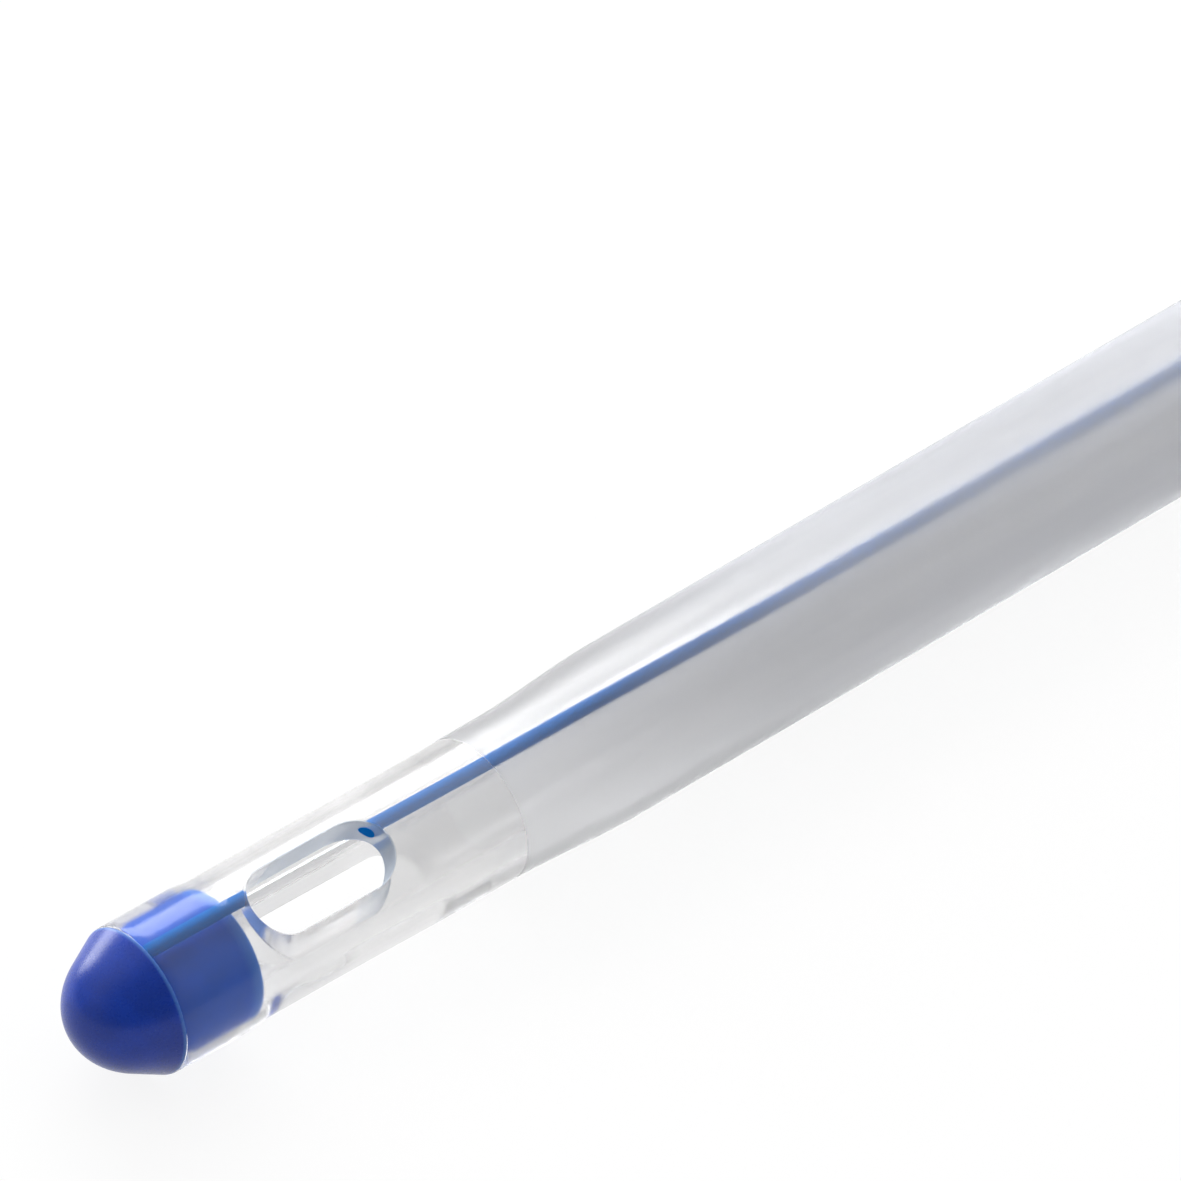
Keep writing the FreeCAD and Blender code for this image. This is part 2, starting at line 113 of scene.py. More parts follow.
class StrandSizes(bpy.types.PropertyGroup):
    radius: in_mm("Strand radius", "Radius of the marker strand", 0.25)
    offset: in_mm("Strand offset", "Distance from the tube's axis", 2.08)
    turn_front: in_degrees("Turn in front", "Turn of the strand at the tip", 8.0)
    turn_rear: in_degrees("Turn behind", "Turn of the strand from the sleeve on", 16.3)
    colour: as_colour("Strand colour", "Colour of the marker strand", (0.004, 0.15, 0.5))


class SleeveSizes(bpy.types.PropertyGroup):
    start: in_mm("Sleeve start", "Front edge behind the rim", 14.9)
    length: in_mm("Sleeve length", "Length of the balloon sleeve", 38.0)
    wall: in_mm("Sleeve wall", "Thickness of the sleeve with its gap", 0.263)
    edge: in_mm("Edge thickness", "Thickness at the sleeve's ends", 0.022)
    gap: in_mm("Sleeve gap", "Gap between sleeve and tube", 0.006)
    bond: in_mm("Bonded end", "How far the clearer, bonded look of the front end reaches", 11.2)
    slant: in_mm("Slant", "How far the front ramp leans along the tube, up or down", 0.9)


class SpringSizes(bpy.types.PropertyGroup):
    radius: in_mm("Coil radius", "Radius of the spring's coil", 1.6)
    wire_radius: in_mm("Wire radius", "Radius of the spring's wire", 0.18)
    length: in_mm("Spring length", "Length of the spring at rest", 8.0)
    turns: FloatProperty(name="Turns", description="Turns of the coil", default=6.5)
    stroke: in_mm("Stroke", "How far the stem presses it", 1.5)


class StageSizes(bpy.types.PropertyGroup):
    azimuth: in_degrees("Azimuth", "Camera direction round the object", -39.8)
    elevation: in_degrees("Elevation", "Camera height above the horizon", 40.7)
    frame_width: in_mm("Frame width", "Width that the picture covers", 39.7)
    softbox: FloatProperty(name="Softbox", description="Power of the softbox", default=1.9, unit="POWER")
    window: FloatProperty(name="Window", description="Power of the side light", default=1.0, unit="POWER")
    sky: FloatProperty(name="Sky", description="Strength of the light from all round", default=1.08)


def plain(group):
    """A group's values as plain numbers, with lengths in millimetres and angles in degrees."""
    scale = {"LENGTH": 1 / MM, "ROTATION": 1 / DEGREE}
    numbers = SimpleNamespace()
    for prop in group.bl_rna.properties:
        if prop.identifier in group.__annotations__:
            value = getattr(group, prop.identifier)
            setattr(numbers, prop.identifier, value * scale[prop.unit] if prop.unit in scale else value)
    return numbers


def shaft_sizes():
    return plain(bpy.context.scene.catheter_shaft)


def strand_sizes():
    return plain(bpy.context.scene.catheter_strand)


def sleeve_sizes():
    return plain(bpy.context.scene.catheter_sleeve)


# The shaft's runs and turns: a length, or a radius and an angle in degrees

LIFT_ANGLE = 3.2295318
ROUTE = [
    ("run", 10.2, 0.0),
    ("left", 145.5623, 1.85),
    ("run", 190.0, 0.0),
    ("left", 32.0, 40.0),
    ("run", 88.0383, 0.0),
    ("up", 250.0, LIFT_ANGLE),
    ("run", 45.0, 0.0),
]
DROOP_LENGTH = 10.0


def span_of(kind, length, degrees):
    """The distance that a run or a turn covers."""
    return length if kind == "run" else length * math.radians(degrees)


TUBE_END = sum(span_of(*leg) for leg in ROUTE)


def smooth(share):
    """A step from 0 to 1 that starts and ends flat."""
    share = np.clip(share, 0, 1)
    return share * share * (3 - 2 * share)


def route(distance):
    """Places and axes of the shaft at the given distances behind the rim.

    Each run moves the place along the ahead axis. Each turn of radius R carries it round
    a centre that lies R towards the side, so that place = centre - R (side turned by
    distance / R) and the axes turn by the same angle. Returns places and the ahead, left
    and up axes, one row for each distance. The tip droops by a smooth step.
    """
    sizes = shaft_sizes()
    low, high = (np.array(corner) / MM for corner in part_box("tip_plug"))
    distance = np.asarray(distance, float)
    place = np.array([high[0] - sizes.spigot_length, (low[1] + high[1]) / 2, (low[2] + high[2]) / 2])
    axes = np.eye(3)
    places = place + distance[:, None] * axes[0]
    turned = np.repeat(axes[None], len(distance), axis=0)
    begin = 0.0
    for kind, length, degrees in ROUTE:
        span = span_of(kind, length, degrees)
        side = 1 if kind == "left" else 2
        last = begin + span >= TUBE_END - 1e-6
        here = (distance >= begin) & ((distance <= begin + span + 1e-6) | last)
        for chosen, along in ((here, distance[here] - begin), (None, np.array([span]))):
            if kind == "run":
                spots = place + along[:, None] * axes[0]
                frames = np.repeat(axes[None], len(along), axis=0)
            else:
                angle = along / length
                ahead = np.cos(angle)[:, None] * axes[0] + np.sin(angle)[:, None] * axes[side]
                aside = np.cos(angle)[:, None] * axes[side] - np.sin(angle)[:, None] * axes[0]
                frames = np.repeat(axes[None], len(along), axis=0)
                frames[:, 0] = ahead
                frames[:, side] = aside
                spots = place + length * axes[side] - length * aside
            if chosen is not None:
                places[chosen] = spots
                turned[chosen] = frames
        place = spots[0]
        axes = frames[0]
        begin += span
    places[:, 2] -= sizes.droop * smooth(1 - distance / DROOP_LENGTH)
    return places, turned


def on_tube(distance, radius, turn):
    """Points beside the shaft's axis: place + radius (up cos turn - left sin turn).

    The three arrays have one shape. Turn is in radians from the top towards the right.
    """
    shape = np.shape(distance)
    places, axes = route(np.ravel(distance))
    radius = np.ravel(radius)[:, None]
    turn = np.ravel(turn)[:, None]
    points = places + radius * (np.cos(turn) * axes[:, 2] - np.sin(turn) * axes[:, 1])
    return points.reshape(shape + (3,)) * MM


# Meshes from grids

class Shell:
    """Grids of points gathered into one mesh, each with its distance behind the rim and a mark."""

    def __init__(self):
        self.points = []
        self.faces = []
        self.values = {"station": [], "mark": []}
        self.count = 0

    def grid(self, points, stations, marks=0.0, loop=False, flip=False):
        """Adds a grid of rows whose last column joins the first. Loop also joins the last row to the first.

        A mark of 1 is a face where two clear pieces touch and look like one body. On the eyes'
        cut walls the mark says how much haze the wall has, and in the upper eye how much painted shade, with
        a minus in the lower eye.
        """
        rows, columns = points.shape[:2]
        index = np.arange(rows * columns).reshape(rows, columns) + self.count
        index = np.concatenate([index, index[:, :1]], axis=1)
        if loop:
            index = np.concatenate([index, index[:1]], axis=0)
        corners = [index[:-1, :-1], index[:-1, 1:], index[1:, 1:], index[1:, :-1]]
        faces = np.stack(corners[::-1] if flip else corners, axis=-1).reshape(-1, 4)
        self.points.append(points.reshape(-1, 3))
        for name, given in (("station", stations), ("mark", marks)):
            self.values[name].append(np.broadcast_to(given, (rows, columns)).reshape(-1))
        self.faces.append(faces)
        self.count += rows * columns

    def piece(self, name, sharp=30.0):
        """The gathered grids as an object, its doubles merged and its sharp edges marked."""
        mesh = bpy.data.meshes.new(name)
        mesh.from_pydata(np.concatenate(self.points), [], np.concatenate(self.faces))
        for key, given in self.values.items():
            layer = mesh.attributes.new(key, "FLOAT", "POINT")
            layer.data.foreach_set("value", np.concatenate(given).astype(np.float32))
        return finished(name, mesh, sharp)


def finished(name, mesh, sharp=30.0, merge=2e-7):
    """An object of a mesh whose doubles are merged, smooth but for its sharp edges."""
    shape = bmesh.new()
    shape.from_mesh(mesh)
    bmesh.ops.remove_doubles(shape, verts=shape.verts, dist=merge)
    bmesh.ops.dissolve_degenerate(shape, edges=shape.edges, dist=merge)
    shape.to_mesh(mesh)
    shape.free()
    mesh.shade_smooth()
    mesh.set_sharp_from_angle(angle=math.radians(sharp))
    mesh.update()
    item = bpy.data.objects.new(name, mesh)
    bpy.context.scene.collection.objects.link(item)
    return item


def around(columns, start=0.0):
    """Turns of the columns round the tube, in radians."""
    return math.radians(start) + np.arange(columns) * 2 * math.pi / columns


def carried(profile, columns=96, start=0.0, turn_shift=None):
    """A closed or open profile of (distance, radius) rows carried round the shaft's axis.

    Returns points and distances. turn_shift is a function of the turn that adds to the
    distance, times the weight in each row's third column.
    """
    profile = np.asarray(profile, float)
    turns = around(columns, start)
    distance = np.repeat(profile[:, :1], columns, axis=1)
    if turn_shift is not None:
        distance = distance + turn_shift(turns)[None] * profile[:, 2:3]
    radius = np.repeat(profile[:, 1:2], columns, axis=1)
    turn = np.repeat(turns[None], len(profile), axis=0)
    return on_tube(distance, radius, turn), distance


def stations_between(start, end, step):
    """Even distances from start to end, about a step apart, both ends included."""
    return np.linspace(start, end, max(2, int(round(abs(end - start) / step)) + 1))


def long_stations(start, step, end):
    """Distances down the whole tube: close in front, wide on the straights and close in the turn."""
    return np.concatenate([
        stations_between(start, 60.0, step), stations_between(60.0, 204.0, 4.0)[1:],
        stations_between(204.0, 228.0, 0.8)[1:], stations_between(228.0, end, 2.5)[1:]])


def straight(stations, radius):
    """Rows (distance, radius) of one radius at the given distances."""
    return np.column_stack([stations, np.full(len(stations), radius)])


def dress(item, material, body="catheter", replaces=()):
    """Gives a piece its material and slot, its body, and the CAD nodes that it stands for."""
    item.data.materials.clear()
    item.data.materials.append(material)
    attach(item, body)
    if replaces:
        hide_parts(*replaces)
    return item


# Materials

class Wire:
    """A socket of a material. Arithmetic on it adds Math nodes."""

    def __init__(self, paint, socket):
        self.paint = paint
        self.socket = socket

    def math(self, operation, *terms):
        node = self.paint.node("Math", {"operation": operation}, dict(enumerate(terms)))
        return Wire(self.paint, node.outputs[0])

    def __add__(self, other):
        return self.math("ADD", self, other)

    def __radd__(self, other):
        return self.math("ADD", other, self)

    def __sub__(self, other):
        return self.math("SUBTRACT", self, other)

    def __rsub__(self, other):
        return self.math("SUBTRACT", other, self)

    def __mul__(self, other):
        return self.math("MULTIPLY", self, other)

    def clip(self, low=0.0, high=1.0):
        return self.math("MINIMUM", self.math("MAXIMUM", self, low), high)

    def rise(self, low, high):
        """0 below low and 1 above high, smooth between."""
        node = self.paint.node("MapRange", {"interpolation_type": "SMOOTHSTEP"},
                               {"Value": self, "From Min": low, "From Max": high})
        return Wire(self.paint, node.outputs[0])


class Paint:
    """The node tree of a material or of the world."""

    def __init__(self, name, owner=None):
        self.owner = owner or bpy.data.materials.new(name)
        self.owner.use_nodes = True
        self.tree = self.owner.node_tree
        self.tree.nodes.clear()

    def node(self, kind, settings=None, values=None):
        """Adds a node: its settings first, then the values or links of its sockets."""
        node = self.tree.nodes.new("ShaderNode" + kind)
        for key, value in (settings or {}).items():
            setattr(node, key, value)
        for key, value in (values or {}).items():
            if isinstance(value, Wire):
                self.tree.links.new(value.socket, node.inputs[key])
            elif isinstance(value, bpy.types.Node):
                self.tree.links.new(value.outputs[0], node.inputs[key])
            else:
                node.inputs[key].default_value = value
        return node

    def wire(self, kind, settings=None, values=None, out=0):
        return Wire(self, self.node(kind, settings, values).outputs[out])

    def place(self):
        return self.wire("TexCoord", out="Object")

    def station(self):
        return self.wire("Attribute", {"attribute_name": "station"}, out="Fac")

    def mark(self):
        return self.wire("Attribute", {"attribute_name": "mark"}, out="Fac")

    def noise(self, scale, detail=3.0, stretch=None):
        """Noise from 0 to 1 on Object coordinates, with a size per mm and a stretch."""
        place = self.place()
        if stretch is not None:
            place = self.wire("Mapping", values={"Vector": place, "Scale": stretch})
        return self.wire("TexNoise", values={"Vector": place, "Scale": scale, "Detail": detail})

    def mixed(self, factor, first, second):
        """A colour between two colours."""
        node = self.node("Mix", {"data_type": "RGBA"}, {"Factor": factor})
        for key, value in (("A", first), ("B", second)):
            socket = [s for s in node.inputs if s.name == key and s.type == "RGBA"][0]
            if isinstance(value, Wire):
                self.tree.links.new(value.socket, socket)
            else:
                socket.default_value = (*value, 1.0)
        return Wire(self, [s for s in node.outputs if s.type == "RGBA"][0])

    def bump(self, height, distance):
        """A normal from a height from 0 to 1, whose full rise is a distance in mm."""
        return self.wire("Bump", values={"Height": height, "Distance": distance * MM})

    def surface(self, shader):
        self.node("OutputMaterial" if isinstance(self.owner, bpy.types.Material) else "OutputWorld",
                  values={"Surface": shader})
        return self.owner


def shade(colour, share):
    return tuple(channel * share for channel in colour)


def blue_silicone():
    """Deep blue moulded silicone: a soft sheen, a faint cloud of pigment and a very fine skin.

    At the rim's lip and the spigot's end, its thinnest places, a paler blue is painted in: a painted glow,
    as of light shining through.
    """
    paint = Paint("blue_silicone")
    colour = shaft_sizes().blue
    cloud = paint.noise(900.0)
    skin = paint.noise(5200.0)
    base = paint.mixed(cloud.rise(0.35, 0.7), shade(colour, 0.9), shade(colour, 1.12))
    station = paint.station()
    length = shaft_sizes().spigot_length
    # Painted glow: a paler blue mixed in at the rim's lip and at the spigot's end.
    rim = station.rise(-0.16, -0.06) * (1 - station.rise(0.0, 0.03))
    painted_glow = (rim + station.rise(length - 0.6, length)) * 0.6
    base = paint.mixed(painted_glow, base, (0.1, 0.26, 0.62))
    shader = paint.node("BsdfPrincipled", values={
        "Base Color": base, "Roughness": 0.22 + skin * 0.12, "IOR": 1.41,
        "Subsurface Weight": 0.15, "Subsurface Scale": 0.0006, "Subsurface Radius": (0.4, 0.5, 1.0),
        "Normal": paint.bump(skin, 0.0015)})
    covered = station.rise(0.02, 0.04)
    # Inside the tube the spigot is matt, and a lighter blue is painted in as painted sheen, in place of its
    # reflections.
    dull = matt(paint, paint.mixed(0.2, base, (0.1, 0.35, 1.0)))
    return paint.surface(paint.node("MixShader", values={0: covered, 1: shader, 2: dull}))


def marker_silicone():
    """The strand's paler blue, a little uneven along its length and without sheen inside the clear wall."""
    paint = Paint("marker_silicone")
    colour = strand_sizes().colour
    cloud = paint.noise(700.0, stretch=(0.2, 1.0, 1.0))
    base = paint.mixed(cloud.rise(0.3, 0.7), shade(colour, 0.88), shade(colour, 1.14))
    return paint.surface(matt(paint, base))


def seen_through(paint, shader, tint=0.9):
    """Lets the light of the lamps through clear silicone, so that it casts only a faint shadow."""
    shadow = paint.wire("LightPath", out="Is Shadow Ray")
    clear = paint.node("BsdfTransparent", values={"Color": (tint, tint, tint, 1.0)})
    return paint.node("MixShader", values={0: shadow, 1: shader, 2: clear})


def matt(paint, colour):
    """A plain matt shader without any sheen, of a varying colour or an even one."""
    return paint.node("BsdfPrincipled", values={
        "Base Color": colour if isinstance(colour, Wire) else (*colour, 1.0), "Roughness": 1.0,
        "Specular IOR Level": 0.0})


def milk(paint, factor, shader, colour):
    """Mixes a share of pale haze into a clear shader."""
    return paint.node("MixShader", values={0: factor, 1: shader, 2: matt(paint, colour)})


def clear_silicone():
    """Clear extruded silicone with a faint haze and a faint draw along the tube.

    Where the sleeve lies close over it the two look like one body, so the skin vanishes there.
    The cut wall of the upper eye has a haze and, on its upper and rear sides, a darker grey-blue painted
    shade; that of the lower eye is mostly left clear.
    """
    paint = Paint("clear_silicone")
    sleeve = sleeve_sizes()
    draw = paint.noise(1500.0, stretch=(0.06, 1.0, 1.0))
    skin = paint.noise(6000.0)
    mark = paint.mark()
    shader = paint.node("BsdfPrincipled", values={
        "Base Color": (*shaft_sizes().colour, 1.0), "Roughness": 0.15 + skin * 0.05, "IOR": 1.41,
        "Transmission Weight": 1.0, "Normal": paint.bump(draw, 0.001)})
    station = paint.station()
    # The upper eye's cut wall: more haze, and a darker grey-blue painted shade where its mark is high.
    cut = mark.clip() * (1 - station.rise(12.8, 13.0))
    far = (0 - mark).clip()
    share = (0.1 + draw * 0.07) * (0.2 + station.rise(3.4, 5.0) * 0.8) + station.rise(16.0, 28.0) * 0.05
    # Pale haze, which turns into the darker grey-blue painted shade on the upper eye's cut wall.
    haze = paint.mixed(cut.rise(0.0, 0.3), (0.78, 0.77, 0.76), (0.45, 0.54, 0.66))
    shader = milk(paint, share + cut * 0.4 + far * 0.3, shader, haze)
    clear = paint.node("BsdfTransparent", values={"Color": (1.0, 1.0, 1.0, 1.0)})
    end = sleeve.start + sleeve.length
    covered = station.rise(sleeve.start, sleeve.start + 0.02) * (1 - station.rise(end - 0.02, end))
    shader = paint.node("MixShader", values={0: covered * mark + far * 0.75, 1: shader, 2: clear})
    return paint.surface(seen_through(paint, shader))


def bonded_silicone():
    """Clear silicone cured inside the tube's wall: no skin of its own, only a little cloud."""
    paint = Paint("bonded_silicone")
    cloud = paint.noise(1200.0)
    clear = paint.node("BsdfTransparent", values={"Color": (0.97, 0.97, 0.98, 1.0)})
    return paint.surface(milk(paint, 0.03 + cloud * 0.06, clear, (0.62, 0.64, 0.68)))


def sleeve_silicone():
    """The balloon's skin: clear where it is bonded in front, frosted and a little milky behind."""
    paint = Paint("balloon_silicone")
    sleeve = sleeve_sizes()
    station = paint.station()
    end = sleeve.start + sleeve.bond
    frost = station.rise(sleeve.start + 2.5, end + 4.0)
    loose = station.rise(end - 3.0, end + 15.0)
    grain = paint.noise(3500.0, detail=4.0)
    cloud = paint.noise(420.0, stretch=(0.45, 1.0, 1.0))
    streak = paint.noise(560.0, stretch=(0.08, 1.0, 1.0)).rise(0.3, 0.7)
    height = grain * 0.12 + cloud * frost
    shaded = station.rise(sleeve.start, sleeve.start + 5.0)
    tinge = paint.mixed(shaded, (0.92, 0.925, 0.94), (0.815, 0.82, 0.84))
    glassy = paint.node("BsdfPrincipled", values={
        "Base Color": tinge, "Roughness": 0.285 + loose * 0.45 + streak * 0.05 + grain * 0.02, "IOR": 1.41,
        "Transmission Weight": 1.0, "Normal": paint.bump(height, 0.03)})
    shader = milk(paint, 0.02 + cloud * 0.1 + frost * (0.14 + streak * 0.26) + loose * 0.08, glassy,
                  (0.67, 0.685, 0.73))
    clear = paint.node("BsdfTransparent", values={"Color": (1.0, 1.0, 1.0, 1.0)})
    shader = paint.node("MixShader", values={0: paint.mark(), 1: shader, 2: clear})
    return paint.surface(seen_through(paint, shader, 0.82))


def milky_silicone():
    """The funnel's moulded silicone: pale, half clear and satin."""
    paint = Paint("funnel_silicone")
    cloud = paint.noise(160.0)
    skin = paint.noise(3500.0)
    base = paint.mixed(cloud.rise(0.3, 0.7), (0.52, 0.55, 0.57), (0.58, 0.6, 0.62))
    return paint.surface(paint.node("BsdfPrincipled", values={
        "Base Color": base, "Roughness": 0.3 + skin * 0.12, "IOR": 1.41, "Subsurface Weight": 0.6,
        "Subsurface Scale": 0.0025, "Subsurface Radius": (1.0, 1.0, 0.95),
        "Normal": paint.bump(skin, 0.004)}))


def moulded_plastic(name, colour, roughness):
    """Injection-moulded plastic with a fine even grain and a slight cloud in its colour."""
    paint = Paint(name)
    cloud = paint.noise(400.0)
    grain = paint.noise(4200.0)
    base = paint.mixed(cloud.rise(0.3, 0.7), shade(colour, 0.93), shade(colour, 1.05))
    return paint.surface(paint.node("BsdfPrincipled", values={
        "Base Color": base, "Roughness": roughness + grain * 0.1, "IOR": 1.49,
        "Normal": paint.bump(grain, 0.004)}))


def spring_steel():
    """Drawn wire with fine scratches along it."""
    paint = Paint("spring_steel")
    scratch = paint.noise(9000.0, stretch=(1.0, 0.2, 1.0))
    return paint.surface(paint.node("BsdfPrincipled", values={
        "Base Color": paint.mixed(scratch, (0.5, 0.5, 0.52), (0.66, 0.66, 0.68)), "Metallic": 1.0,
        "Roughness": 0.2 + scratch * 0.15}))


# Pieces

# How deep the tip sits in the tube's silicone, so that no air shows between them, and the
# radius of a ring of points on the flat face where the two meet
EMBED = 0.01
SEAT_RADIUS = 2.2


def nose_rows():
    """Rows (distance, radius) of the tip's outline, from the nose to the rim and down the spigot.

    The nose is an ellipse from its end to the point where its slope is the flank's, then
    the flank runs straight to the rim, whose corner is rounded.
    """
    sizes = shaft_sizes()
    flank = math.radians(sizes.flank_angle)
    tangent = math.atan(sizes.nose_half_length * math.tan(flank) / sizes.nose_half_width)
    shoulder = sizes.nose_half_width * math.cos(tangent)
    flank_length = (sizes.swell_radius - shoulder) / math.tan(flank)
    centre = sizes.nose_half_length * math.sin(tangent) - flank_length
    sweep = np.linspace(math.pi / 2, tangent, 30)
    nose = np.column_stack([centre - sizes.nose_half_length * np.sin(sweep),
                            sizes.nose_half_width * np.cos(sweep)])
    corner = 0.07
    share = np.linspace(0.0, 1.0, 7)[1:]
    reach = -flank_length + share * (flank_length - corner)
    side = np.column_stack([reach, shoulder + (reach + flank_length) * math.tan(flank)])
    top = sizes.swell_radius - corner * math.tan(flank)
    rim = np.array([[-0.035, top + 0.012], [-0.01, top + 0.008], [0.004, top - 0.01], [0.01, top - 0.04],
                    [0.01, SEAT_RADIUS]])
    embedded = sizes.spigot_radius + EMBED
    spigot = np.vstack([[[0.01, embedded + 0.07]], straight([0.04, 0.5, 1.5, 2.4], embedded)])
    end = spigot_edge(EMBED)[::-1]
    nose[0, 1] = 0.0
    return np.vstack([nose, side, rim, spigot, end, [[end[-1, 0], 0.6], [end[-1, 0], 0.0]]])


def spigot_edge(grow):
    """Rows (distance, radius) of the spigot's rounded end, grown outwards, from the lumen forwards.

    The edge is a quarter circle from the lumen's radius to the spigot's.
    """
    sizes = shaft_sizes()
    depth = sizes.spigot_radius - sizes.lumen_radius
    angle = np.linspace(0, math.pi / 2, 6)
    return np.column_stack([sizes.spigot_length - depth + depth * np.cos(angle) + grow,
                            sizes.lumen_radius + depth * np.sin(angle) + grow])


class CATHETER_OT_tip(bpy.types.Operator):
    """The blue tip: dome, rim and the spigot that plugs the drainage lumen"""
    bl_idname = "catheter.tip"
    bl_label = "Blue tip"

    def execute(self, context):
        shell = Shell()
        shell.grid(*carried(nose_rows()))
        dress(shell.piece("blue_tip", sharp=40.0), blue_silicone(), replaces=["tip_plug"])
        return {"FINISHED"}


def eye_outline(bearing, length, grow=0.0):
    """Where a line from the eye's middle at a bearing meets the eye's outline.

    The outline is two straight sides joined by half circles, grown outwards by an amount.
    """
    sizes = shaft_sizes()
    half = (length - sizes.eye_width) / 2
    radius = sizes.eye_width / 2 + grow
    across = np.abs(np.sin(bearing))
    along = np.abs(np.cos(bearing))
    side = radius / np.maximum(across, 1e-9)
    end = half * along + np.sqrt(np.maximum(radius ** 2 - (half * across) ** 2, 0))
    reach = np.where(side * along <= half, side, end)
    return reach * np.cos(bearing), reach * np.sin(bearing)


# The stretch of the tube behind the rim that is drawn round the eyes, and the radius of their edges
EYES_FRONT = 4.1
EYES_REAR = 13.6
EYE_EDGE = 0.05


def eye_grid(seam_turn, middle, length, centre_turn):
    """Outer wall, edge, cut wall and inner wall round one eye, as one grid of rings.

    The perimeter runs round a patch of half the tube's turn, about a seam turn, and each of
    its points keeps its bearing from the eye's middle. Rings on a wall blend from the patch's
    border to the outline. Rings of the cut lie straight below the outline, at height
    sqrt(r^2 - v^2). Returns points, distances behind the rim, and the cut's mark for haze and painted shade,
    highest on its upper and rear sides.
    """
    sizes = shaft_sizes()
    edge = EYE_EDGE
    side_steps = 40
    half = sizes.columns // 2
    half_turn = np.linspace(-math.pi / 2, math.pi / 2, half + 1)[:-1]
    along = np.linspace(EYES_FRONT - middle, EYES_REAR - middle, side_steps + 1)
    border_u = np.concatenate([np.full(half, along[0]), along[:-1], np.full(half, along[-1]), along[:0:-1]])
    border_t = np.concatenate([half_turn, np.full(side_steps, math.pi / 2), -half_turn,
                               np.full(side_steps, -math.pi / 2)]) + math.radians(seam_turn - centre_turn)
    bearing = np.arctan2(border_t * sizes.radius, border_u)
    rows = []

    def wall(radius, shares):
        u, v = eye_outline(bearing, length, edge)
        t = np.arcsin(np.clip(v / radius, -1, 1))
        for share in shares:
            rows.append((border_u + (u - border_u) * share, border_t + (t - border_t) * share, radius, None))

    spacing = 1 - (1 - np.linspace(0, 1, 15)) ** 1.7
    wall(sizes.radius, spacing)
    rounds = np.linspace(0, math.pi / 2, 5)[1:]
    for bend in rounds:
        u, v = eye_outline(bearing, length, edge * (1 - math.sin(bend)))
        rows.append((u, v, None, np.sqrt(sizes.radius ** 2 - v ** 2) - edge * (1 - math.cos(bend))))
    u, v = eye_outline(bearing, length)
    top = np.sqrt(sizes.radius ** 2 - v ** 2) - edge
    foot = np.sqrt(sizes.lumen_radius ** 2 - v ** 2) + edge
    for share in np.linspace(0, 1, 9)[1:]:
        rows.append((u, v, None, top + (foot - top) * share))
    for bend in rounds[-2::-1]:
        u, v = eye_outline(bearing, length, edge * (1 - math.sin(bend)))
        inner = np.sqrt(np.maximum(sizes.lumen_radius ** 2 - v ** 2, 0)) + edge * (1 - math.cos(bend))
        rows.append((u, v, None, inner))
    wall(sizes.lumen_radius, spacing[::-1])
    points = []
    stations = []
    for u, v, radius, height in rows:
        if radius is None:
            turn = np.arctan2(v, height)
            reach = np.hypot(v, height)
        else:
            turn = v
            reach = np.full(len(u), radius)
        station = middle + u
        points.append(on_tube(station, reach, math.radians(centre_turn) + turn))
        stations.append(station)
    # Painted shade: the cut's mark is highest on its upper and rear sides, which get more haze and, in the
    # upper eye, a darker grey-blue colour.
    haze_and_shade = smooth(0.5 - 0.8 * np.sin(bearing) + 0.8 * np.cos(bearing))
    cut = np.array([haze_and_shade * (row[2] is None) for row in rows])
    return np.array(points), np.array(stations), cut


class CATHETER_OT_shaft(bpy.types.Operator):
    """The clear tube: stretched over the spigot in front, with two punched eyes and its lumens"""
    bl_idname = "catheter.shaft"
    bl_label = "Clear tube"

    def execute(self, context):
        sizes = shaft_sizes()
        swell = sizes.swell_radius
        start = sizes.eye_turn - 90.0
        ramp = np.linspace(0.0, 1.0, 6)
        outer_front = np.vstack([
            [[0.0, sizes.spigot_radius], [0.0, SEAT_RADIUS], [0.0, swell - 0.05], [0.015, swell - 0.015],
             [0.05, swell]],
            straight(np.linspace(0.4, 2.8, 8), swell),
            np.column_stack([3.0 + ramp * 0.9, swell + (sizes.radius - swell) * smooth(ramp)]),
            [[EYES_FRONT, sizes.radius]]])
        inner_front = np.vstack([
            [[EYES_FRONT, sizes.lumen_radius]], spigot_edge(0.0),
            straight(np.linspace(3.6, 0.4, 9), sizes.spigot_radius)])
        shell = Shell()
        shell.grid(*carried(np.vstack([inner_front, outer_front]), sizes.columns, start))
        stations = long_stations(EYES_REAR, 1.0, TUBE_END)
        rear = np.vstack([straight(stations, sizes.radius), straight(stations[::-1], sizes.lumen_radius)])
        marks = np.repeat([1.0, 0.0], len(stations))[:, None]
        shell.grid(*carried(rear, sizes.columns, start), marks)
        seam = sizes.eye_turn
        shell.grid(*eye_grid(seam, sizes.eye_middle, sizes.eye_length, sizes.eye_turn))
        points, station, cut = eye_grid(seam + 180, sizes.far_middle, sizes.far_length, sizes.far_turn)
        shell.grid(points, station, -cut)
        lumen = np.concatenate([stations_between(LUMEN_FRONT, EYES_REAR, 1.0), stations[1:-1]])
        shell.grid(*inflation_rod(lumen), flip=True)
        item = shell.piece("clear_tube")
        dress(item, clear_silicone(), replaces=["shaft_tube"])
        return {"FINISHED"}


# Where the open inflation lumen starts, and how much shorter the drop of silicone before it ends
LUMEN_FRONT = 2.8
SEAL_PLAY = 0.02


def inflation_rod(stations):
    """A closed round rod in the tube's wall on the inflation lumen's line.

    Its points are the lumen's axis plus its radius round that axis, and its ends shrink to points.
    """
    sizes = shaft_sizes()
    stations = np.concatenate([stations[:1], stations, stations[-1:]])
    scale = np.concatenate([[0.0], np.full(len(stations) - 2, sizes.inflation_radius), [0.0]])[:, None]
    ring = around(20)[None]
    radial = sizes.inflation_offset + scale * np.cos(ring)
    across = scale * np.sin(ring)
    turn = math.radians(sizes.inflation_turn) + np.arctan2(across, radial)
    station = np.repeat(stations[:, None], ring.shape[1], axis=1)
    return on_tube(station, np.hypot(radial, across), turn), station


